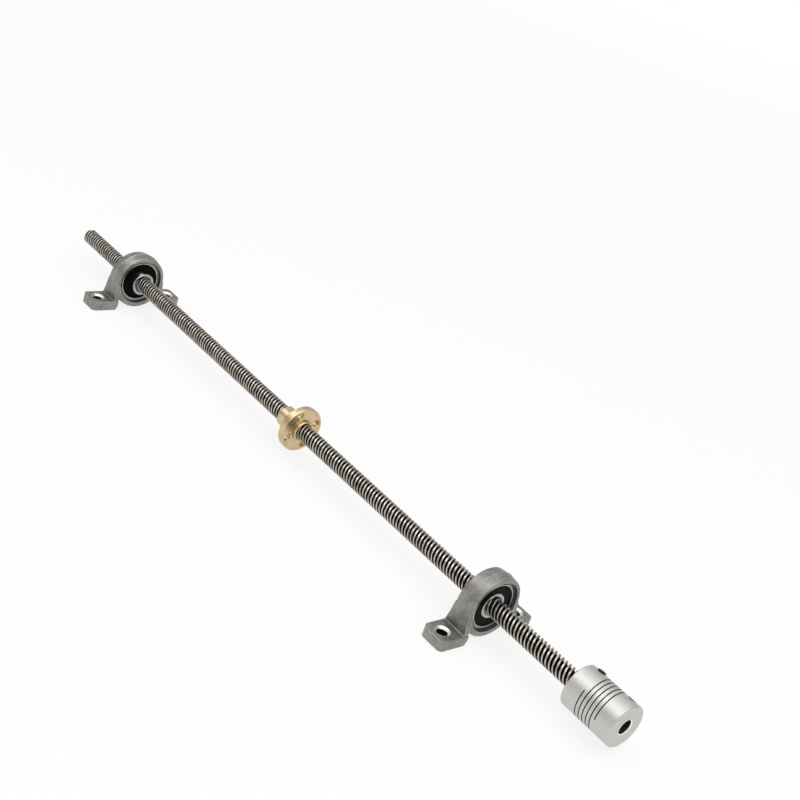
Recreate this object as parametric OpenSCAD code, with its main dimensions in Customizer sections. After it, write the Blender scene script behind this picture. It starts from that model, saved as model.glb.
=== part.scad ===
// Lead screw set: a four-start trapezoidal screw in two pillow blocks, with a flanged nut
// and a flexible shaft coupling. +X runs along the screw towards the coupling, +Z is up,
// and the feet of the blocks stand on z = 0. Millimetres.

/* [Screw] */
// Outside diameter of the thread
screw_d = 8; // [7:0.5:9]
// Overall length of the screw
screw_l = 400; // [300:10:500]
// Distance from one thread ridge to the next
thread_pitch = 2; // [1.5:0.25:3]
// Depth of the thread groove
thread_depth = 1.25; // [0.75:0.05:1.5]
// Slope of each thread flank from the upright, in degrees
flank_angle = 15; // [10:1:20]
// Width of the flat on a ridge, as a share of the pitch
ridge_share = 0.366; // [0.3:0.01:0.4]
// Chamfer on both ends of the screw
screw_chamfer = 0.8; // [0.4:0.1:1.2]

/* [Layout] */
// Height of the screw's centre line over the feet
axis_h = 15; // [15:0.5:20]
// From the screw's free end to the middle of the end block
end_block_at = 52.5; // [30:0.5:80]
// From the middle of the drive block to the screw's end in the coupling
drive_block_at = 60.5; // [45:0.5:80]
// From the middle of the end block to the front face of the nut's flange
nut_at = 155; // [40:0.5:200]
// Length of screw held inside the coupling
screw_in_coupling = 7.5; // [6:0.5:10]

/* [Nut] */
// Diameter of the nut's flange
flange_d = 22; // [20:0.5:26]
// Thickness of the nut's flange
flange_t = 3.5; // [2.5:0.5:5]
// Diameter of the nut's barrel and of its front boss
barrel_d = 10.2; // [10:0.1:11]
// Length of the barrel behind the flange
barrel_l = 10; // [6:0.5:20]
// Length of the boss in front of the flange
boss_l = 1.5; // [0.5:0.5:4]
// Diameter of the circle that the flange holes lie on
flange_hole_circle = 16; // [15:0.5:17]
// Diameter of the four flange holes
flange_hole_d = 3.5; // [2.5:0.1:4]
// Number of flange holes
flange_holes = 4; // [3:1:6]
// Turn of the nut about the screw, in degrees
nut_turn = 21; // [0:1:89]
// Chamfer on the nut's edges
nut_chamfer = 0.4; // [0.2:0.1:0.8]
// Running gap between the nut and the ridges of the thread
nut_gap = 0.06; // [0.02:0.01:0.1]

/* [Housing] */
// Length of a block over its two feet
foot_span = 53; // [50:1:64]
// Width of a foot along the screw
foot_w = 13; // [12:0.5:18]
// Thickness of a foot
foot_t = 5; // [4:0.5:7]
// Corner radius of a foot, seen from above
foot_corner = 3.5; // [1:0.5:5]
// From the end of a foot to the middle of its bolt hole
bolt_hole_at = 5.5; // [5:0.5:7]
// Diameter of the bolt holes
bolt_hole_d = 5; // [4:0.1:6]
// Countersink on the upper rim of the bolt holes
bolt_hole_chamfer = 0.85; // [0.4:0.05:1]
// Chamfer on the edges of the feet
foot_chamfer = 0.4; // [0.2:0.1:0.6]
// Radius of the cast ring at its parting line
ring_r = 14.1; // [13.8:0.1:14.5]
// How far the ring narrows from its parting line to its faces
ring_draft = 0.5; // [0.2:0.1:0.8]
// Height of the thin ridge that the two halves of the mould leave on the ring
parting_ridge = 0.15; // [0.1:0.05:0.25]
// Width of the cast ring along the screw
ring_w = 9.3; // [8.5:0.1:11]
// Chamfer on the edges of the cast ring
ring_chamfer = 0.4; // [0.2:0.1:0.6]
// Gap between the ring's thick lower edge and the base
ring_base_gap = 0.2; // [0.1:0.1:0.5]
// Height over the base up to which the ring's edge stays thick
ring_base_h = 7; // [6:0.5:8]
// Radius of the recess in both faces of the housing
recess_r = 12; // [11.6:0.1:12.4]
// How far a foot reaches in under the ring
foot_under_ring = 0.85; // [0.5:0.05:1.2]
// How much further in a web reaches than its foot does
web_under_ring = 1.25; // [0.8:0.05:1.6]
// How far a web leans out, from the centre line's height down to its foot
web_lean = 0.55; // [0.2:0.05:0.8]
// How far a web stands past each face of the ring, just over its foot
web_flare = 0.5; // [0.2:0.1:1]
// Fillet between a web and its foot
web_fillet = 0.6; // [0.3:0.1:1]
// Width of the round seat that holds the bearing
seat_w = 6; // [5:0.5:6.5]
// Gap between the bearing and its round seat
seat_gap = 0.02; // [0.01:0.01:0.05]
// Gap on each side of the bearing in the slot that it is put in through
slot_gap = 0.2; // [0.1:0.05:0.4]

/* [Bearing] */
// Outside diameter of the bearing
bearing_d = 22; // [21.6:0.1:22.4]
// Width of the outer ring
bearing_w = 7; // [6.6:0.1:7.6]
// Inner radius of the outer ring
outer_ring_bore_r = 9.5; // [9.3:0.1:9.7]
// Outside radius of the inner ring and its collar
inner_ring_r = 6; // [5.8:0.1:6.2]
// How far the collar stands past the bearing's face
collar_l = 4; // [3.5:0.5:6]
// Chamfer on the outer edges of the inner ring
collar_chamfer = 0.3; // [0.1:0.1:0.5]
// Chamfer where the screw enters the inner ring
bore_chamfer = 0.7; // [0.4:0.1:0.9]
// Number of balls
ball_count = 7; // [5:1:8]
// Diameter of a ball
ball_d = 3.96; // [3.8:0.02:4]
// Running gap between a ball, its races and its cage pocket
ball_gap = 0.04; // [0.02:0.01:0.06]
// Width of the cage
cage_w = 4.8; // [4.6:0.1:5]
// Radial thickness of the cage
cage_t = 1.1; // [0.8:0.1:1.4]
// Thickness of a rubber seal
seal_t = 0.5; // [0.3:0.1:0.5]
// Depth of a seal below the face of the outer ring
seal_recess = 0.15; // [0.1:0.05:0.3]
// Radial depth of the step that a seal sits in
seal_step = 0.5; // [0.3:0.1:0.6]
// Gap between a seal and its step
seal_fit = 0.02; // [0.01:0.01:0.05]
// Width of the raised rim on a seal
seal_rim = 0.7; // [0.6:0.05:0.9]
// Width of the lip on a seal, next to the inner ring
seal_lip = 0.5; // [0.3:0.05:0.7]
// Depth of the groove between a seal's rim and its lip
seal_groove = 0.15; // [0.05:0.05:0.2]
// Running gap between a seal and the inner ring
seal_gap = 0.1; // [0.05:0.01:0.1]
// Gap between the screw and what slides onto it
screw_fit = 0.03; // [0.01:0.01:0.05]

/* [Set screws] */
// Diameter of the set screws in the collar
ring_screw_d = 3; // [2.5:0.1:3.5]
// Length of the set screws in the collar
ring_screw_l = 2.4; // [2:0.1:3]
// Angle of the first collar set screw about the screw, in degrees
ring_screw_turn = 110; // [0:5:180]
// Angle between the two set screws of a collar, in degrees
ring_screw_step = -120; // [-150:5:-90]
// Diameter of the coupling's set screws
hub_screw_d = 4; // [3:0.1:4.4]
// Length of the coupling's set screws
hub_screw_l = 6; // [4:0.5:6.5]
// From each end of the coupling to its set screws
hub_screw_at = 4.4; // [3.6:0.1:4.8]
// Angle of the first set screw of each hub, in degrees
hub_screw_turn = 62; // [0:1:180]
// Angle between the two set screws of a hub, in degrees
hub_screw_step = -90; // [-120:5:-60]
// How far the motor side's set screws stay back from the bore
motor_screw_back = 0.2; // [0.1:0.1:0.6]
// Width of a hexagon socket over its corners, as a share of the screw's diameter
socket_share = 0.55; // [0.45:0.05:0.65]
// Depth of a hexagon socket, as a share of the screw's length
socket_depth_share = 0.4; // [0.3:0.05:0.5]
// Chamfer on the outer end of a set screw, as a share of its diameter
set_screw_chamfer = 0.1; // [0.05:0.01:0.12]

/* [Coupling] */
// Diameter of the coupling
coupling_d = 19; // [18:0.5:22]
// Length of the coupling
coupling_l = 25; // [24:0.5:30]
// Diameter of the bore for the motor shaft
motor_bore_d = 6.35; // [5:0.05:8]
// Depth of the solid hub at each end
hub_l = 7.5; // [7:0.1:7.8]
// Radius of the relief bore between the hubs
relief_r = 4.3; // [4.1:0.1:4.6]
// Width of the spiral saw cut
cut_w = 0.5; // [0.3:0.1:0.7]
// Distance between neighbouring turns of the saw cut
cut_pitch = 1.9; // [1.7:0.05:1.9]
// Number of turns of the saw cut
cut_turns = 5.1; // [4:0.1:5.1]
// Angle at which the saw cut starts, in degrees
cut_start = 143; // [0:1:359]
// Chamfer on the coupling's rims and bores
coupling_chamfer = 0.4; // [0.2:0.1:0.6]

/* [Hidden] */
$fn = 96;
race_sides = 48;
cut_sides = 20;
overlap = 1;

screw_r = screw_d / 2;
root_r = screw_r - thread_depth;
total_l = screw_l - screw_in_coupling + coupling_l;
screw_x = -total_l / 2;
end_x = screw_x + end_block_at;
drive_x = screw_x + screw_l - drive_block_at;
nut_x = end_x + nut_at;
coupling_x = screw_x + screw_l - screw_in_coupling;
bearing_r = bearing_d / 2;
seal_r = outer_ring_bore_r + seal_step;
seal_x = bearing_w / 2 - seal_recess - seal_t;
ball_circle_r = (inner_ring_r + outer_ring_bore_r) / 2;
race_r = ball_d / 2 + ball_gap;
collar_screw_x = bearing_w / 2 + collar_l / 2;
on_screw_r = screw_r + screw_fit;
inside_bore = screw_r / 2;

// A solid of revolution about the X axis from [radius, x] points
module turned(points) {
    rotate([0, 90, 0]) rotate_extrude() polygon(points);
}

// A round bar along X from x = a to x = b
module bar(r, a, b) {
    translate([a, 0, 0]) rotate([0, 90, 0]) cylinder(r = r, h = b - a);
}

// Moves a piece from the screw's centre line to its place over the base
module on_axis(x) {
    translate([x, 0, axis_h]) children();
}

// Lays a radial bar at angle a about the screw, from radius r1 to r2, at distance x
module radial_bar(a, x, r, r1, r2, sides = $fn) {
    rotate([a, 0, 0]) translate([x, r1, 0]) rotate([-90, 0, 0])
        cylinder(r = r, h = r2 - r1, $fn = sides);
}

// Thread: one ridge and one groove for each pitch, lower where an end is chamfered
ridge_w = thread_pitch * ridge_share;
flank_w = thread_depth * tan(flank_angle);
ridge_count = floor((screw_l - ridge_w) / thread_pitch);
first_ridge = (screw_l - (ridge_count - 1) * thread_pitch) / 2;

function ridge_r(x) =
    min(screw_r, screw_r - screw_chamfer + min(x, screw_l - x));

function ridge_points(x) = [
    [root_r, x - ridge_w / 2 - flank_w],
    [ridge_r(x - ridge_w / 2), x - ridge_w / 2],
    [ridge_r(x + ridge_w / 2), x + ridge_w / 2],
    [root_r, x + ridge_w / 2 + flank_w]];

module lead_screw() {
    ridges = [for (i = [0 : ridge_count - 1]) each ridge_points(first_ridge + i * thread_pitch)];
    color([0.5, 0.48, 0.45]) on_axis(screw_x)
        turned(concat([[0, 0], [root_r, 0]], ridges, [[root_r, screw_l], [0, screw_l]]));
}

// Nut: barrel, flange and boss turned from one bar, with four screw holes
module flange_hole() {
    r = flange_hole_d / 2;
    c = nut_chamfer / 2;
    bar(r, -flange_t - overlap, overlap);
    rotate([0, 90, 0]) translate([0, 0, -c]) cylinder(r1 = r, r2 = r + 2 * c, h = 2 * c);
}

module lead_nut() {
    flange_r = flange_d / 2;
    barrel_r = barrel_d / 2;
    bore_r = screw_r + nut_gap;
    back = -flange_t - barrel_l;
    c = nut_chamfer;
    color([0.79, 0.69, 0.48]) on_axis(nut_x) rotate([nut_turn, 0, 0]) difference() {
        turned([[bore_r + c, back], [barrel_r - c, back], [barrel_r, back + c],
            [barrel_r, -flange_t], [flange_r - c, -flange_t], [flange_r, c - flange_t],
            [flange_r, -c], [flange_r - c, 0], [barrel_r, 0], [barrel_r, boss_l - c],
            [barrel_r - c, boss_l], [bore_r + c, boss_l], [bore_r, boss_l - c],
            [bore_r, back + c]]);
        for (i = [0 : flange_holes - 1])
            rotate([i * 360 / flange_holes, 0, 0]) translate([0, flange_hole_circle / 2, 0])
                flange_hole();
    }
}

// Housing: a cast ring on two webs and two feet, with a thin parting ridge round the ring
base_r = axis_h - ring_base_gap;
web_top = ring_r - web_lean / 2;
web_foot = ring_r + web_lean / 2;
foot_inner = ring_r - foot_under_ring;
web_inner = foot_inner - web_under_ring;
seat_r = bearing_r + seat_gap;
slot_w = bearing_w + 2 * slot_gap;

// A disc that is widest at its middle, where a parting ridge may stand
module ring_blank(r_mid, ridge) {
    half = ring_w / 2;
    edge_r = r_mid - ring_draft;
    turned([[0, -half], [edge_r - ring_chamfer, -half], [edge_r, -half + ring_chamfer],
        [r_mid, -ridge], [r_mid + ridge, 0], [r_mid, ridge],
        [edge_r, half - ring_chamfer], [edge_r - ring_chamfer, half], [0, half]]);
}

// The block seen along the screw: one web and its foot
module web_outline() {
    l = foot_span / 2;
    c = foot_chamfer;
    f = web_fillet;
    m = f * (1 - cos(45));
    polygon([[foot_inner, 0], [l - c, 0], [l, c], [l, foot_t - c], [l - c, foot_t],
        [web_foot + f, foot_t], [web_foot + m, foot_t + m], [web_foot, foot_t + f],
        [web_top, axis_h], [bearing_r, axis_h], [web_inner, foot_t], [web_inner, foot_t / 2]]);
}

// The block seen from the side: wide at the feet, narrowing up to the ring
module side_outline() {
    w = foot_w / 2;
    r = ring_w / 2;
    c = foot_chamfer;
    right = [[w - c, 0], [w, c], [w, foot_t - c], [w - c, foot_t], [r + web_flare, 2 * foot_t],
        [r, axis_h], [r, axis_h + ring_r]];
    polygon(concat(right, [for (i = [len(right) - 1 : -1 : 0]) [-right[i].x, right[i].y]]));
}

// The feet seen from above, with round corners
module plan_outline() {
    l = foot_span / 2 - foot_corner;
    w = foot_w / 2 - foot_corner;
    square([2 * l, foot_w], center = true);
    square([foot_span, 2 * w], center = true);
    for (sx = [-1, 1], sy = [-1, 1]) translate([sx * l, sy * w]) circle(r = foot_corner);
}

module bolt_hole() {
    r = bolt_hole_d / 2;
    c = bolt_hole_chamfer;
    cylinder(r = r, h = 3 * foot_t, center = true);
    translate([0, 0, foot_t - c]) cylinder(r1 = r, r2 = r + 2 * c, h = 2 * c);
}

module housing(x) {
    color([0.49, 0.5, 0.48]) translate([x, 0, 0]) difference() {
        union() {
            intersection() {
                rotate([90, 0, 90]) linear_extrude(foot_w, center = true)
                    for (s = [0, 1]) mirror([s, 0]) web_outline();
                rotate([90, 0, 0]) linear_extrude(foot_span, center = true) side_outline();
                rotate([0, 0, 90]) linear_extrude(axis_h) plan_outline();
            }
            on_axis(0) ring_blank(ring_r, parting_ridge);
            intersection() {
                on_axis(0) ring_blank(base_r, 0);
                translate([-foot_w / 2, -web_inner, 0]) cube([foot_w, 2 * web_inner, ring_base_h]);
            }
        }
        on_axis(0) {
            intersection() {
                sphere(r = seat_r);
                bar(seat_r + overlap, -seat_w / 2, seat_w / 2);
            }
            for (s = [0, 1]) mirror([s, 0, 0]) bar(recess_r, seat_w / 2, foot_w);
            translate([0, -seat_r, -slot_w / 2]) cube([foot_w, 2 * seat_r, slot_w]);
        }
        for (s = [-1, 1]) translate([0, s * (foot_span / 2 - bolt_hole_at), 0]) bolt_hole();
    }
}

// Outer ring: a ball's slice with a groove for the balls and a step for each seal
module outer_ring(x) {
    color([0.72, 0.72, 0.7]) on_axis(x) difference() {
        intersection() {
            sphere(r = bearing_r);
            bar(bearing_r + overlap, -bearing_w / 2, bearing_w / 2);
        }
        bar(outer_ring_bore_r, -bearing_w, bearing_w);
        for (s = [0, 1]) mirror([s, 0, 0]) bar(seal_r, seal_x, bearing_w);
        race();
    }
}

module race() {
    rotate([0, 90, 0]) rotate_extrude() translate([ball_circle_r, 0]) circle(r = race_r, $fn = race_sides);
}

// Inner ring with its long collar, which faces the way that side says
module inner_ring(x, side) {
    h = bearing_w / 2;
    c = collar_chamfer;
    b = bore_chamfer;
    color([0.7, 0.7, 0.7]) on_axis(x) mirror([side < 0 ? 1 : 0, 0, 0]) difference() {
        turned([[on_screw_r + b, -h], [inner_ring_r - c, -h], [inner_ring_r, c - h],
            [inner_ring_r, h + collar_l - c], [inner_ring_r - c, h + collar_l],
            [on_screw_r + b, h + collar_l], [on_screw_r, h + collar_l - b], [on_screw_r, b - h]]);
        race();
        for (k = [0, 1])
            radial_bar(ring_screw_turn + k * ring_screw_step, collar_screw_x, ring_screw_d / 2,
                inside_bore, inner_ring_r + overlap);
    }
}

module balls(x) {
    color([0.8, 0.8, 0.82]) on_axis(x) for (i = [0 : ball_count - 1])
        rotate([i * 360 / ball_count, 0, 0]) translate([0, ball_circle_r, 0]) sphere(d = ball_d);
}

module cage(x) {
    color([0.75, 0.65, 0.4]) on_axis(x) difference() {
        bar(ball_circle_r + cage_t / 2, -cage_w / 2, cage_w / 2);
        bar(ball_circle_r - cage_t / 2, -cage_w, cage_w);
        for (i = [0 : ball_count - 1])
            radial_bar(i * 360 / ball_count, 0, race_r, ball_circle_r - cage_t, ball_circle_r + cage_t);
    }
}

// Rubber seal: a thin washer with a shallow groove on its outer face
module seal(x, side) {
    inner = inner_ring_r + seal_gap;
    outer = seal_r - seal_fit;
    face = seal_x + seal_t;
    sunk = face - seal_groove;
    color([0.05, 0.05, 0.05]) on_axis(x) mirror([side < 0 ? 1 : 0, 0, 0])
        turned([[inner, seal_x], [outer, seal_x], [outer, face], [outer - seal_rim, face],
            [outer - seal_rim - seal_groove, sunk], [inner + seal_lip, sunk], [inner, face]]);
}

// Set screw along +Y from radius r1, with a hexagon socket in its outer end
module set_screw(a, x, d, r1, l) {
    r = d / 2 - screw_fit;
    c = d * set_screw_chamfer;
    socket = l * socket_depth_share;
    rotate([a, 0, 0]) translate([x, r1, 0]) rotate([-90, 0, 0]) difference() {
        rotate_extrude() polygon([[0, 0], [r - 2 * c, 0], [r, 2 * c], [r, l - c], [r - c, l], [0, l]]);
        translate([0, 0, l - socket]) cylinder(d = d * socket_share, h = l, $fn = 6);
    }
}

module ring_screws(x, side) {
    color([0.55, 0.53, 0.52]) on_axis(x) for (k = [0, 1])
        set_screw(ring_screw_turn + k * ring_screw_step, side * collar_screw_x, ring_screw_d, on_screw_r,
            ring_screw_l);
}

// Coupling: a bored bar with a saw cut that winds through its wall
cut_steps = ceil(cut_turns * cut_sides);
cut_first = (coupling_l - cut_turns * cut_pitch) / 2;
cut_in = relief_r - overlap;
cut_out = coupling_d / 2 + overlap;

function cut_ring(i) = let (
    t = i / cut_steps * cut_turns,
    a = cut_start + t * 360,
    x = cut_first + t * cut_pitch,
    w = cut_w / 2)
    [for (p = [[cut_in, -w], [cut_out, -w], [cut_out, w], [cut_in, w]])
        [x + p[1], p[0] * cos(a), p[0] * sin(a)]];

module saw_cut() {
    points = [for (i = [0 : cut_steps]) each cut_ring(i)];
    last = 4 * cut_steps;
    polyhedron(points, concat(
        [[3, 2, 1, 0], [last, last + 1, last + 2, last + 3]],
        [for (i = [0 : cut_steps - 1], k = [0 : 3])
            each [[4 * i + k, 4 * i + (k + 1) % 4, 4 * i + 4 + (k + 1) % 4],
                [4 * i + k, 4 * i + 4 + (k + 1) % 4, 4 * i + 4 + k]]]));
}

module coupling_body() {
    r = coupling_d / 2;
    b = motor_bore_d / 2;
    c = coupling_chamfer;
    l = coupling_l;
    color([0.78, 0.78, 0.76]) on_axis(coupling_x) difference() {
        turned([[on_screw_r + c, 0], [r - c, 0], [r, c], [r, l - c], [r - c, l], [b + c, l],
            [b, l - c], [b, l - hub_l], [relief_r, l - hub_l], [relief_r, hub_l],
            [on_screw_r, hub_l], [on_screw_r, c]]);
        saw_cut();
        for (k = [0, 1], x = [hub_screw_at, l - hub_screw_at])
            radial_bar(hub_screw_turn + k * hub_screw_step, x, hub_screw_d / 2,
                inside_bore, r + overlap);
    }
}

module hub_screws(x, r1) {
    color([0.08, 0.08, 0.08]) on_axis(coupling_x) for (k = [0, 1])
        set_screw(hub_screw_turn + k * hub_screw_step, x, hub_screw_d, r1, hub_screw_l);
}

lead_screw();
lead_nut();
housing(end_x);  // end_housing
outer_ring(end_x);  // end_outer_ring
inner_ring(end_x, 1);  // end_inner_ring
balls(end_x);  // end_balls
cage(end_x);  // end_cage
seal(end_x, 1);  // end_front_seal
seal(end_x, -1);  // end_back_seal
ring_screws(end_x, 1);  // end_ring_screws
housing(drive_x);  // drive_housing
outer_ring(drive_x);  // drive_outer_ring
inner_ring(drive_x, -1);  // drive_inner_ring
balls(drive_x);  // drive_balls
cage(drive_x);  // drive_cage
seal(drive_x, 1);  // drive_front_seal
seal(drive_x, -1);  // drive_back_seal
ring_screws(drive_x, -1);  // drive_ring_screws
coupling_body();
hub_screws(hub_screw_at, on_screw_r);  // coupling_screw_side_screws
hub_screws(coupling_l - hub_screw_at, motor_bore_d / 2 + motor_screw_back);  // coupling_motor_side_screws
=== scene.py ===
"""Lead screw set: screw in two pillow blocks, with a flanged nut and a flexible coupling"""

import math

import bpy
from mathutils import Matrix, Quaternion, Vector


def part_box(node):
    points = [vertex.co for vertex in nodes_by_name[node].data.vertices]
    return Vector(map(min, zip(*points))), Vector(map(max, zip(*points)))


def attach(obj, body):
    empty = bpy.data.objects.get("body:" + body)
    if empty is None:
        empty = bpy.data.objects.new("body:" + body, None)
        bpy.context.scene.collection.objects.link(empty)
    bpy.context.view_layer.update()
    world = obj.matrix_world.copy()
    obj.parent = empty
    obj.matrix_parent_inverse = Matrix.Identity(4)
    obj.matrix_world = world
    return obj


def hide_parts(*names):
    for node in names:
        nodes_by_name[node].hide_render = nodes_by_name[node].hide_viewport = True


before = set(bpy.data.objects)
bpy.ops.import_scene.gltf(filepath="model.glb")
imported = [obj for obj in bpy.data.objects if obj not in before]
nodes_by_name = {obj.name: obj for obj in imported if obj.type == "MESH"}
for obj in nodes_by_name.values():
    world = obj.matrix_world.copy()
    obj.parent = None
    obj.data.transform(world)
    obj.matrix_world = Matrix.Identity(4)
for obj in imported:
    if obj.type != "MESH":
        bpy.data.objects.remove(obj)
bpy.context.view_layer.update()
mm = 0.001

# Viewpoint
# The set is seen from its coupling end, from above and to one side, with the camera
# leaning so that the screw runs from corner to corner of the picture.
camera_at = Vector((0.405648, -0.388402, 0.306059))
looks_at = Vector((0.050640, 0.0, 0.061803))
camera_lean = math.radians(18.66)
picture_px = 800
focal_px = 1372.2

camera_data = bpy.data.cameras.new("camera")
camera_data.sensor_width = 36.0
camera_data.lens = focal_px / picture_px * camera_data.sensor_width
camera_data.clip_start = 0.01
camera_data.clip_end = 100.0
camera = bpy.data.objects.new("camera", camera_data)
bpy.context.collection.objects.link(camera)
camera.location = camera_at
level = (looks_at - camera_at).to_track_quat("-Z", "Y")
camera.rotation_mode = "QUATERNION"
camera.rotation_quaternion = level @ Quaternion((0, 0, 1), camera_lean)
bpy.context.scene.camera = camera


# Screw
# An 8 mm steel bar with a rolled trapezoidal thread of four starts, painted near black in the
# grooves as shade and bright on the crests as a highlight, with random patches of oil stain.
def linear(red, green, blue):
    """A colour that is known by its 0 to 255 levels on a screen"""
    return tuple((level / 255) ** 2.2 for level in (red, green, blue)) + (1.0,)


class Finish:
    """A surface finish: a shader and the nodes that vary it over the piece"""

    def __init__(self, name, colour, metallic, roughness):
        self.material = bpy.data.materials.new(name)
        self.material.use_nodes = True
        self.tree = self.material.node_tree
        self.shader = self.tree.nodes["Principled BSDF"]
        self.shader.inputs["Base Color"].default_value = colour
        self.shader.inputs["Metallic"].default_value = metallic
        self.shader.inputs["Roughness"].default_value = roughness
        self.place = self.add("ShaderNodeTexCoord").outputs["Object"]

    def add(self, kind, **settings):
        node = self.tree.nodes.new(kind)
        for key, value in settings.items():
            setattr(node, key, value)
        return node

    def link(self, source, target):
        self.tree.links.new(source, target)

    def maths(self, operation, first, second=None):
        node = self.add("ShaderNodeMath", operation=operation)
        for socket, value in zip(node.inputs, (first, second)):
            if value is None:
                continue
            if isinstance(value, (int, float)):
                socket.default_value = value
            else:
                self.link(value, socket)
        return node.outputs["Value"]

    def split(self, offset=(0, 0, 0)):
        """X, Y and Z, measured from a point"""
        moved = self.add("ShaderNodeVectorMath", operation="SUBTRACT")
        moved.inputs[1].default_value = offset
        self.link(self.place, moved.inputs[0])
        parts = self.add("ShaderNodeSeparateXYZ")
        self.link(moved.outputs["Vector"], parts.inputs["Vector"])
        return parts.outputs["X"], parts.outputs["Y"], parts.outputs["Z"]

    def joined(self, x=0.0, y=0.0, z=0.0):
        node = self.add("ShaderNodeCombineXYZ")
        for name, value in (("X", x), ("Y", y), ("Z", z)):
            if isinstance(value, (int, float)):
                node.inputs[name].default_value = value
            else:
                self.link(value, node.inputs[name])
        return node.outputs["Vector"]

    def length(self, vector):
        node = self.add("ShaderNodeVectorMath", operation="LENGTH")
        self.link(vector, node.inputs[0])
        return node.outputs["Value"]

    def from_centre_line(self):
        x, y, z = self.split((0, 0, axis_z))
        return self.length(self.joined(0.0, y, z))

    def lathe_marks(self, scale):
        """Fine rings round the screw's centre line, on sides and on end faces"""
        x, y, z = self.split((0, 0, axis_z))
        return self.noise(scale, 2.0, self.joined(x, self.length(self.joined(0.0, y, z))))

    def nearness(self, distance):
        """1 on open surfaces, and less in holes and corners"""
        node = self.add("ShaderNodeAmbientOcclusion", only_local=True, samples=8)
        node.inputs["Distance"].default_value = distance
        return node.outputs["AO"]

    def edges(self, width):
        """0 on even surfaces, and more where the surface turns a corner"""
        rounded = self.add("ShaderNodeBevel", samples=8)
        rounded.inputs["Radius"].default_value = width
        surface = self.add("ShaderNodeNewGeometry")
        node = self.add("ShaderNodeVectorMath", operation="DOT_PRODUCT")
        self.link(rounded.outputs["Normal"], node.inputs[0])
        self.link(surface.outputs["Normal"], node.inputs[1])
        return self.maths("SUBTRACT", 1.0, node.outputs["Value"])

    def noise(self, scale, detail=2.0, vector=None):
        node = self.add("ShaderNodeTexNoise")
        node.inputs["Scale"].default_value = scale
        node.inputs["Detail"].default_value = detail
        self.link(vector or self.place, node.inputs["Vector"])
        return node.outputs["Fac"]

    def ramp(self, value, *stops):
        node = self.add("ShaderNodeValToRGB")
        band = node.color_ramp
        while len(band.elements) < len(stops):
            band.elements.new(0.5)
        for element, (at, colour) in zip(band.elements, stops):
            element.position = at
            element.color = colour
        self.link(value, node.inputs["Fac"])
        return node.outputs["Color"]

    def spread(self, value, low, high, to_low=0.0, to_high=1.0):
        node = self.add("ShaderNodeMapRange")
        self.link(value, node.inputs["Value"])
        for name, number in (("From Min", low), ("From Max", high), ("To Min", to_low), ("To Max", to_high)):
            node.inputs[name].default_value = number
        return node.outputs["Result"]

    def mixed(self, share, first, second, blend="MIX"):
        node = self.add("ShaderNodeMix", data_type="RGBA", blend_type=blend)
        for socket, value in ((node.inputs[0], share), (node.inputs[6], first), (node.inputs[7], second)):
            if isinstance(value, (int, float, tuple)):
                socket.default_value = value
            else:
                self.link(value, socket)
        return node.outputs[2]

    def bump(self, height, depth, strength=1.0):
        node = self.add("ShaderNodeBump")
        node.inputs["Distance"].default_value = depth
        node.inputs["Strength"].default_value = strength
        self.link(height, node.inputs["Height"])
        self.link(node.outputs["Normal"], self.shader.inputs["Normal"])

    def colour(self, socket):
        self.link(socket, self.shader.inputs["Base Color"])

    def roughness(self, socket):
        self.link(socket, self.shader.inputs["Roughness"])

    def put_on(self, *objects):
        for obj in objects:
            obj.data.materials.clear()
            obj.data.materials.append(self.material)


screw_low, screw_high = (Vector(corner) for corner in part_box("lead_screw"))
axis_z = (screw_low.z + screw_high.z) / 2
crest_r = 4.0 * mm
groove_depth = 1.25 * mm
pitch = 2.0 * mm
starts = 4
lead = pitch * starts
crest_share = 0.366
flank_slope = math.tan(math.radians(15))
crest_rounding = 0.09 * mm
first_crest_x = -0.20455
first_crest_angle = math.radians(114.3)
steps_per_turn = 40
end_chamfer = 0.8 * mm

crest_half = pitch * crest_share / 2
foot_half = crest_half + groove_depth * flank_slope
thread_section = [
    (-foot_half, crest_r - groove_depth),
    (-crest_half - crest_rounding * flank_slope, crest_r - crest_rounding),
    (-crest_half + crest_rounding, crest_r),
    (crest_half - crest_rounding, crest_r),
    (crest_half + crest_rounding * flank_slope, crest_r - crest_rounding),
    (foot_half, crest_r - groove_depth),
]


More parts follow.
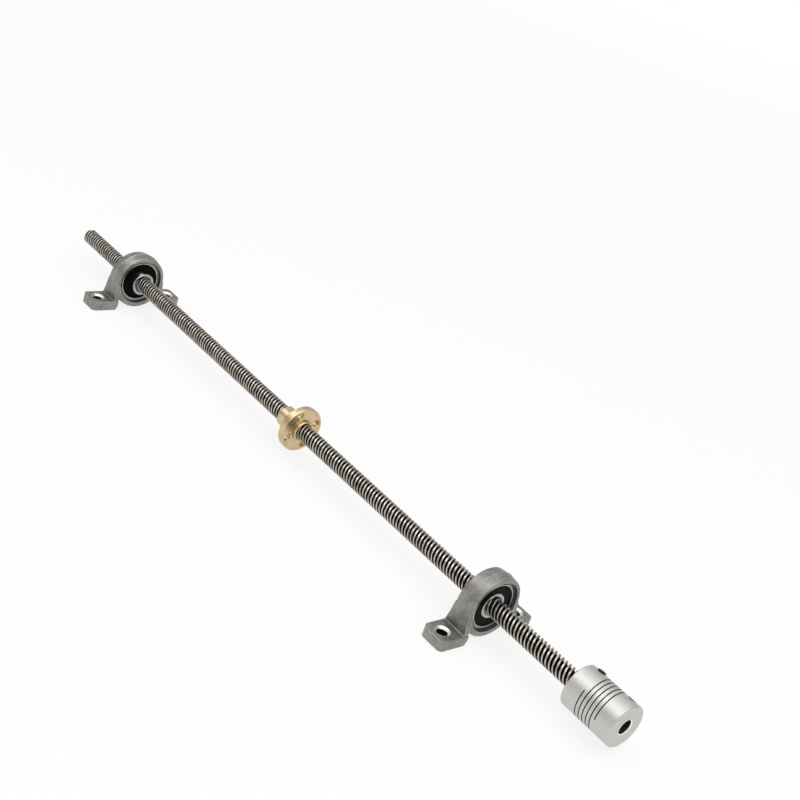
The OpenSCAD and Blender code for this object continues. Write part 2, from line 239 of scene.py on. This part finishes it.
def helix_mesh(name, section, low_x, high_x):
    """Surface swept along the four starts from low_x to high_x, as one closed skin"""
    import bmesh
    turns = math.ceil((high_x - low_x) / lead) + 2
    ring = [(start * pitch + x, r) for start in range(starts) for x, r in section]
    phase_x = first_crest_x - lead * first_crest_angle / (2 * math.pi)
    skip = math.floor((low_x - lead - phase_x) / lead) * lead
    rows = turns * steps_per_turn + 1
    points = []
    for row in range(rows):
        angle = 2 * math.pi * row / steps_per_turn
        shift = phase_x + skip + lead * row / steps_per_turn
        cos, sin = math.cos(angle), math.sin(angle)
        points += [(shift + x, r * cos, axis_z + r * sin) for x, r in ring]
    wide = len(ring)
    faces = []
    for row in range(rows - 1):
        for i in range(wide - 1):
            a = row * wide + i
            faces.append((a, a + 1, a + wide + 1, a + wide))
        if row + steps_per_turn < rows - 1:
            a = row * wide + wide - 1
            b = (row + steps_per_turn) * wide
            faces.append((a, b, b + wide, a + wide))
    mesh = bpy.data.meshes.new(name)
    mesh.from_pydata(points, [], faces)
    shape = bmesh.new()
    shape.from_mesh(mesh)
    for x, outward in ((low_x, -1), (high_x, 1)):
        for at, cuts in ((x - outward * end_chamfer, False), (x, True)):
            parts = shape.verts[:] + shape.edges[:] + shape.faces[:]
            bmesh.ops.bisect_plane(shape, geom=parts, plane_co=(at, 0, 0), plane_no=(outward, 0, 0),
                                   clear_outer=cuts, dist=1e-7)
    for vert in shape.verts:
        from_end = min(vert.co.x - low_x, high_x - vert.co.x)
        widest = crest_r - max(0.0, end_chamfer - from_end)
        up = vert.co.z - axis_z
        shrink = min(1.0, widest / math.hypot(vert.co.y, up))
        vert.co.y *= shrink
        vert.co.z = axis_z + up * shrink
    open_edges = [edge for edge in shape.edges if edge.is_boundary]
    bmesh.ops.holes_fill(shape, edges=open_edges, sides=0)
    bmesh.ops.recalc_face_normals(shape, faces=shape.faces[:])
    shape.to_mesh(mesh)
    shape.free()
    return mesh


screw_mesh = helix_mesh("screw_thread", thread_section, screw_low.x, screw_high.x)
screw = bpy.data.objects.new("screw_thread", screw_mesh)
bpy.context.collection.objects.link(screw)
screw_mesh.polygons.foreach_set("use_smooth", [True] * len(screw_mesh.polygons))
screw_mesh.set_sharp_from_angle(angle=math.radians(30))

rolled = Finish("rolled_steel", linear(176, 168, 158), 1.0, 0.34)
# Painted shade and highlight: the colour runs from near black at the groove bottoms to bright at the crests.
height = rolled.spread(rolled.from_centre_line(), crest_r - groove_depth, crest_r)
steel = rolled.ramp(height, (0.0, linear(26, 22, 19)), (0.5, linear(74, 66, 58)),
                    (0.86, linear(146, 138, 129)), (0.97, linear(206, 200, 191)))
oil = rolled.noise(420.0, 4.0)
stained = rolled.ramp(oil, (0.35, linear(168, 155, 142)), (0.62, linear(255, 255, 255)))
steel = rolled.mixed(0.75, steel, stained, "MULTIPLY")
end_skin = 0.06 * mm
x, y, z = rolled.split((screw_low.x, 0, 0))
sawn = rolled.spread(x, 2 * end_skin, end_skin)
rolled.colour(rolled.mixed(sawn, steel, linear(184, 180, 174)))
rolled.roughness(rolled.spread(height, 0.2, 1.0, 0.5, 0.32))
rolled.bump(rolled.noise(2600.0, 3.0), 0.02 * mm, 0.5)
rolled.put_on(screw)

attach(screw, "screw")
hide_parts("lead_screw")


# Nut
# A round flanged nut, turned from brass bar, with four plain holes for the screws that
# hold it to a carriage. The tool leaves fine rings on its faces.
turned_brass = Finish("turned_brass", linear(206, 186, 148), 1.0, 0.3)
patches = turned_brass.noise(260.0, 3.0)
bright_brass = turned_brass.ramp(patches, (0.3, linear(196, 172, 132)), (0.7, linear(216, 196, 158)))
# Painted shade darkens the brass in holes and corners, and a painted highlight brightens its edges.
shade = turned_brass.ramp(turned_brass.nearness(3.0 * mm), (0.1, linear(104, 96, 84)), (0.75, linear(255, 255, 255)))
bright_brass = turned_brass.mixed(1.0, bright_brass, shade, "MULTIPLY")
painted_edge_highlight = turned_brass.spread(turned_brass.edges(0.2 * mm), 0.02, 0.2, 0.0, 0.6)
turned_brass.colour(turned_brass.mixed(painted_edge_highlight, bright_brass, linear(242, 226, 190)))
turned_brass.roughness(turned_brass.spread(patches, 0.3, 0.7, 0.28, 0.4))
turned_brass.bump(turned_brass.lathe_marks(5200.0), 0.02 * mm, 0.6)
turned_brass.put_on(nodes_by_name["lead_nut"])

nut_low, nut_high = (Vector(corner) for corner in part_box("lead_nut"))
nut_clearance = 0.05 * mm
nut_mouth = 0.3 * mm
nut_tip_r = crest_r - groove_depth + 2 * nut_clearance
nut_wall_r = crest_r + 0.12 * mm


def groove_half(r):
    """Half the width of the screw's groove at radius r, less the running clearance"""
    return pitch / 2 - crest_half - (crest_r - r) * flank_slope - nut_clearance


nut_section = [(-groove_half(nut_wall_r), nut_wall_r), (-groove_half(nut_tip_r), nut_tip_r),
               (groove_half(nut_tip_r), nut_tip_r), (groove_half(nut_wall_r), nut_wall_r)]


def nut_thread_mesh(low_x, high_x):
    """Four ridges that run in the screw's grooves, cut off at both mouths of the nut"""
    import bmesh
    phase_x = first_crest_x + pitch / 2 - lead * first_crest_angle / (2 * math.pi)
    skip = math.floor((low_x - lead - phase_x) / lead) * lead
    rows = (math.ceil((high_x - low_x) / lead) + 2) * steps_per_turn + 1
    shape = bmesh.new()
    for start in range(starts):
        rings = []
        for row in range(rows):
            angle = 2 * math.pi * row / steps_per_turn
            shift = phase_x + skip + start * pitch + lead * row / steps_per_turn
            rings.append([shape.verts.new((shift + x, r * math.cos(angle), axis_z + r * math.sin(angle)))
                          for x, r in nut_section])
        for ring, after in zip(rings, rings[1:]):
            for i in range(4):
                j = (i + 1) % 4
                shape.faces.new((ring[i], ring[j], after[j], after[i]))
    for x, outward in ((low_x, -1), (high_x, 1)):
        parts = shape.verts[:] + shape.edges[:] + shape.faces[:]
        bmesh.ops.bisect_plane(shape, geom=parts, plane_co=(x, 0, 0), plane_no=(outward, 0, 0),
                               clear_outer=True, dist=1e-7)
    open_edges = [edge for edge in shape.edges if edge.is_boundary]
    bmesh.ops.holes_fill(shape, edges=open_edges, sides=0)
    bmesh.ops.recalc_face_normals(shape, faces=shape.faces[:])
    mesh = bpy.data.meshes.new("nut_thread")
    shape.to_mesh(mesh)
    shape.free()
    return mesh


nut_thread_data = nut_thread_mesh(nut_low.x + nut_mouth, nut_high.x - nut_mouth)
nut_thread = bpy.data.objects.new("nut_thread", nut_thread_data)
bpy.context.collection.objects.link(nut_thread)
nut_thread_data.polygons.foreach_set("use_smooth", [True] * len(nut_thread_data.polygons))
nut_thread_data.set_sharp_from_angle(angle=math.radians(30))
turned_brass.put_on(nut_thread)
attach(nut_thread, "nut")


# Pillow block housings
# One zinc die-casting each: a ring on two feet. Casting and tumbling leave a satin grey
# skin with a fine grain.
blocks = ("end", "drive")
bolt_hole_y = 21.0 * mm
countersink_r = 3.35 * mm
skin_edge = 0.12 * mm
lit_depth = 3.7 * mm
for side in blocks:
    housing = nodes_by_name[side + "_housing"]
    low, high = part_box(side + "_housing")
    cast_zinc = Finish(side + "_cast_zinc", linear(140, 139, 134), 0.9, 0.45)
    grain = cast_zinc.noise(1700.0, 3.0)
    clouds = cast_zinc.noise(260.0, 4.0)
    skin = cast_zinc.ramp(clouds, (0.3, linear(141, 141, 136)), (0.7, linear(168, 167, 161)))
    speckle = cast_zinc.ramp(grain, (0.3, linear(200, 200, 198)), (0.7, linear(255, 255, 255)))
    skin = cast_zinc.mixed(0.9, skin, speckle, "MULTIPLY")
    # Painted shade darkens the zinc in holes, recesses and corners, and a painted highlight brightens its edges.
    shade = cast_zinc.ramp(cast_zinc.nearness(5.0 * mm), (0.1, linear(24, 24, 22)), (0.5, linear(178, 177, 172)),
                           (0.9, linear(255, 255, 255)))
    skin = cast_zinc.mixed(1.0, skin, shade, "MULTIPLY")
    painted_edge_highlight = cast_zinc.spread(cast_zinc.edges(0.3 * mm), 0.02, 0.2, 0.0, 0.75)
    skin = cast_zinc.mixed(painted_edge_highlight, skin, linear(226, 225, 219))
    # In the bolt holes the colour is painted: near black below lit_depth as shade, and bright above it as bare
    # drilled zinc with a painted highlight.
    x, y, z = cast_zinc.split(((low[0] + high[0]) / 2, 0, 0))
    across = cast_zinc.maths("SUBTRACT", cast_zinc.maths("ABSOLUTE", y), bolt_hole_y)
    from_hole = cast_zinc.length(cast_zinc.joined(x, across))
    drilled = cast_zinc.spread(from_hole, countersink_r + skin_edge, countersink_r, 0.0, 1.0)
    depth = cast_zinc.spread(z, lit_depth - skin_edge, lit_depth + skin_edge)
    metal_with_painted_light = cast_zinc.mixed(depth, linear(14, 13, 12), linear(226, 225, 216))
    cast_zinc.colour(cast_zinc.mixed(drilled, skin, metal_with_painted_light))
    cast_zinc.roughness(cast_zinc.spread(grain, 0.3, 0.7, 0.34, 0.52))
    cast_zinc.bump(grain, 0.05 * mm, 0.6)
    cast_zinc.put_on(housing)


# Bearings
# Each housing holds an insert bearing with seven steel balls in a drilled brass cage.
# Its rings are ground steel, and two black moulded seals close it.
ground_steel = Finish("ground_steel", linear(172, 171, 172), 1.0, 0.24)
grind_marks = ground_steel.lathe_marks(6400.0)
# Painted shade darkens the ground steel in holes and corners.
shade = ground_steel.ramp(ground_steel.nearness(1.5 * mm), (0.1, linear(70, 68, 68)), (0.8, linear(255, 255, 255)))
worn = ground_steel.ramp(grind_marks, (0.3, linear(160, 158, 160)), (0.7, linear(180, 179, 180)))
ground_steel.colour(ground_steel.mixed(1.0, worn, shade, "MULTIPLY"))
ground_steel.roughness(ground_steel.spread(grind_marks, 0.3, 0.7, 0.18, 0.32))
ground_steel.bump(grind_marks, 0.01 * mm, 0.5)

polished_steel = Finish("polished_steel", linear(226, 226, 228), 1.0, 0.06)
polished_steel.roughness(polished_steel.spread(polished_steel.noise(900.0), 0.3, 0.7, 0.04, 0.1))

drilled_brass = Finish("drilled_brass", linear(206, 178, 112), 1.0, 0.35)
drilled_brass.roughness(drilled_brass.spread(drilled_brass.noise(1500.0), 0.3, 0.7, 0.28, 0.45))

moulded_rubber = Finish("moulded_rubber", linear(20, 20, 21), 0.0, 0.45)
moulded_rubber.shader.inputs["Specular IOR Level"].default_value = 0.04
flow = moulded_rubber.noise(800.0, 3.0)
moulded_rubber.colour(moulded_rubber.ramp(flow, (0.3, linear(9, 9, 10)), (0.7, linear(18, 18, 19))))
moulded_rubber.roughness(moulded_rubber.spread(flow, 0.3, 0.7, 0.34, 0.5))

black_oxide = Finish("black_oxide", linear(30, 30, 32), 0.6, 0.34)
black_oxide.shader.inputs["Specular IOR Level"].default_value = 0.25
wear = black_oxide.noise(1300.0, 3.0)
black_oxide.colour(black_oxide.ramp(wear, (0.4, linear(26, 26, 28)), (0.75, linear(56, 55, 54))))

plain_steel = Finish("plain_steel", linear(150, 144, 142), 1.0, 0.36)
dull = plain_steel.noise(1200.0, 3.0)
plain_steel.colour(plain_steel.ramp(dull, (0.3, linear(138, 131, 130)), (0.7, linear(164, 158, 156))))

for side in blocks:
    for ring in ("_outer_ring", "_inner_ring"):
        ground_steel.put_on(nodes_by_name[side + ring])
    polished_steel.put_on(nodes_by_name[side + "_balls"])
    drilled_brass.put_on(nodes_by_name[side + "_cage"])
    for seal in ("_front_seal", "_back_seal"):
        moulded_rubber.put_on(nodes_by_name[side + seal])
    plain_steel.put_on(nodes_by_name[side + "_ring_screws"])


# Coupling
# Turned from aluminium bar and bored for the two shafts. One long spiral saw cut through
# its wall lets it bend, and two black set screws hold each shaft.
satin_aluminium = Finish("satin_aluminium", linear(204, 204, 200), 1.0, 0.34)
fine_marks = satin_aluminium.lathe_marks(4200.0)
metal_with_painted_light = satin_aluminium.ramp(fine_marks, (0.3, linear(190, 189, 183)), (0.7, linear(209, 208, 202)))
# Painted shade darkens the aluminium in the bore, the set-screw holes and the saw cut, and a painted highlight
# brightens its edges.
shade = satin_aluminium.ramp(satin_aluminium.nearness(5.0 * mm), (0.2, linear(30, 29, 27)), (0.8, linear(255, 255, 255)))
painted_edge_highlight = satin_aluminium.spread(satin_aluminium.edges(0.25 * mm), 0.02, 0.2, 0.0, 0.6)
metal_with_painted_light = satin_aluminium.mixed(painted_edge_highlight, metal_with_painted_light, linear(238, 236, 232))
metal_with_painted_light = satin_aluminium.mixed(1.0, metal_with_painted_light, shade, "MULTIPLY")
motor_bore_r = 3.175 * mm
bore_chamfer_r = motor_bore_r + 0.4 * mm
from_centre = satin_aluminium.from_centre_line()
# Painted highlight: the chamfer round the motor bore is coloured near white.
on_chamfer = satin_aluminium.spread(from_centre, bore_chamfer_r + skin_edge, bore_chamfer_r)
metal_with_painted_light = satin_aluminium.mixed(on_chamfer, metal_with_painted_light, linear(252, 250, 245))
# Painted shade: the wall of the motor bore is coloured dark.
in_bore = satin_aluminium.spread(from_centre, motor_bore_r + skin_edge, motor_bore_r + skin_edge / 4)
satin_aluminium.colour(satin_aluminium.mixed(in_bore, metal_with_painted_light, linear(88, 85, 80)))
satin_aluminium.roughness(satin_aluminium.spread(fine_marks, 0.3, 0.7, 0.4, 0.52))
satin_aluminium.bump(fine_marks, 0.012 * mm, 0.5)
satin_aluminium.put_on(nodes_by_name["coupling_body"])
for hub in ("screw", "motor"):
    black_oxide.put_on(nodes_by_name["coupling_" + hub + "_side_screws"])


# Studio
# A pale floor that fades to white further out, under two soft lamps. Shiny surfaces see
# the same white surroundings as the camera, with a shaded band part of the way up.
def seen_directly(tree):
    """1 for rays from the camera and for those that a shiny or clear surface sends on"""
    paths = tree.nodes.new("ShaderNodeLightPath")
    largest = paths.outputs["Is Camera Ray"]
    for name in ("Is Glossy Ray", "Is Transmission Ray"):
        either = tree.nodes.new("ShaderNodeMath")
        either.operation = "MAXIMUM"
        tree.links.new(largest, either.inputs[0])
        tree.links.new(paths.outputs[name], either.inputs[1])
        largest = either.outputs["Value"]
    return largest


floor_half = 12.0
floor_mesh = bpy.data.meshes.new("floor")
corners = [(-floor_half, -floor_half, 0), (floor_half, -floor_half, 0),
           (floor_half, floor_half, 0), (-floor_half, floor_half, 0)]
floor_mesh.from_pydata(corners, [], [(0, 1, 2, 3)])
floor = bpy.data.objects.new("floor", floor_mesh)
floor.location.z = -0.0001
bpy.context.collection.objects.link(floor)
pale = bpy.data.materials.new("pale_floor")
pale.use_nodes = True
tree = pale.node_tree
tree.nodes.clear()
matt = tree.nodes.new("ShaderNodeBsdfDiffuse")
matt.inputs["Color"].default_value = (0.92, 0.92, 0.92, 1)
glow = tree.nodes.new("ShaderNodeEmission")
glow.inputs["Strength"].default_value = 1.0
place = tree.nodes.new("ShaderNodeTexCoord")
from_middle = tree.nodes.new("ShaderNodeVectorMath")
from_middle.operation = "LENGTH"
tree.links.new(place.outputs["Object"], from_middle.inputs[0])
fade = tree.nodes.new("ShaderNodeMapRange")
tree.links.new(from_middle.outputs["Value"], fade.inputs["Value"])
for name, number in (("From Min", 0.3), ("From Max", 2.0), ("To Min", 0.82), ("To Max", 1.0)):
    fade.inputs[name].default_value = number
share = tree.nodes.new("ShaderNodeMath")
share.operation = "MULTIPLY"
tree.links.new(fade.outputs["Result"], share.inputs[1])
tree.links.new(seen_directly(tree), share.inputs[0])
blend = tree.nodes.new("ShaderNodeMixShader")
tree.links.new(share.outputs["Value"], blend.inputs["Fac"])
tree.links.new(matt.outputs["BSDF"], blend.inputs[1])
tree.links.new(glow.outputs["Emission"], blend.inputs[2])
output = tree.nodes.new("ShaderNodeOutputMaterial")
tree.links.new(blend.outputs["Shader"], output.inputs["Surface"])
floor_mesh.materials.append(pale)

world = bpy.data.worlds.new("surroundings")
bpy.context.scene.world = world
world.use_nodes = True
tree = world.node_tree
tree.nodes.clear()
room = tree.nodes.new("ShaderNodeBackground")
room.inputs["Color"].default_value = (1, 1, 1, 1)
room.inputs["Strength"].default_value = 0.55
white = tree.nodes.new("ShaderNodeBackground")
white.inputs["Strength"].default_value = 1.0
eye = tree.nodes.new("ShaderNodeLightPath")
sky = tree.nodes.new("ShaderNodeMix")
sky.data_type = "RGBA"
sky.inputs[7].default_value = (1, 1, 1, 1)
tree.links.new(eye.outputs["Is Camera Ray"], sky.inputs[0])
tree.links.new(sky.outputs[2], white.inputs["Color"])
direction = tree.nodes.new("ShaderNodeTexCoord")
heading = tree.nodes.new("ShaderNodeSeparateXYZ")
tree.links.new(direction.outputs["Generated"], heading.inputs["Vector"])
walls = tree.nodes.new("ShaderNodeValToRGB")
tree.links.new(heading.outputs["Z"], walls.inputs["Fac"])
tree.links.new(walls.outputs["Color"], sky.inputs[6])
wall_shades = ((0.0, 1.0), (0.08, 0.95), (0.2, 0.5), (0.48, 0.5), (0.62, 0.85), (0.85, 1.0))
while len(walls.color_ramp.elements) < len(wall_shades):
    walls.color_ramp.elements.new(0.5)
for element, (sine, level_here) in zip(walls.color_ramp.elements, wall_shades):
    element.position = sine
    element.color = (level_here, level_here, level_here, 1)
blend = tree.nodes.new("ShaderNodeMixShader")
tree.links.new(seen_directly(tree), blend.inputs["Fac"])
tree.links.new(room.outputs["Background"], blend.inputs[1])
tree.links.new(white.outputs["Background"], blend.inputs[2])
output = tree.nodes.new("ShaderNodeOutputWorld")
tree.links.new(blend.outputs["Shader"], output.inputs["Surface"])

lamps = {
    "key_lamp": ((0.45, -0.25, 1.05), 1.5, 8.0),
    "side_lamp": ((-0.75, -0.45, 1.1), 0.7, 2.4),
}
for name, (place, size, power) in lamps.items():
    lamp_data = bpy.data.lights.new(name, "AREA")
    lamp_data.shape = "DISK"
    lamp_data.size = size
    lamp_data.energy = power
    lamp = bpy.data.objects.new(name, lamp_data)
    bpy.context.collection.objects.link(lamp)
    lamp.location = place
    lamp.rotation_euler = (Vector((0, 0, 0.01)) - lamp.location).to_track_quat("-Z", "Y").to_euler()

bpy.context.scene.view_settings.view_transform = "Standard"
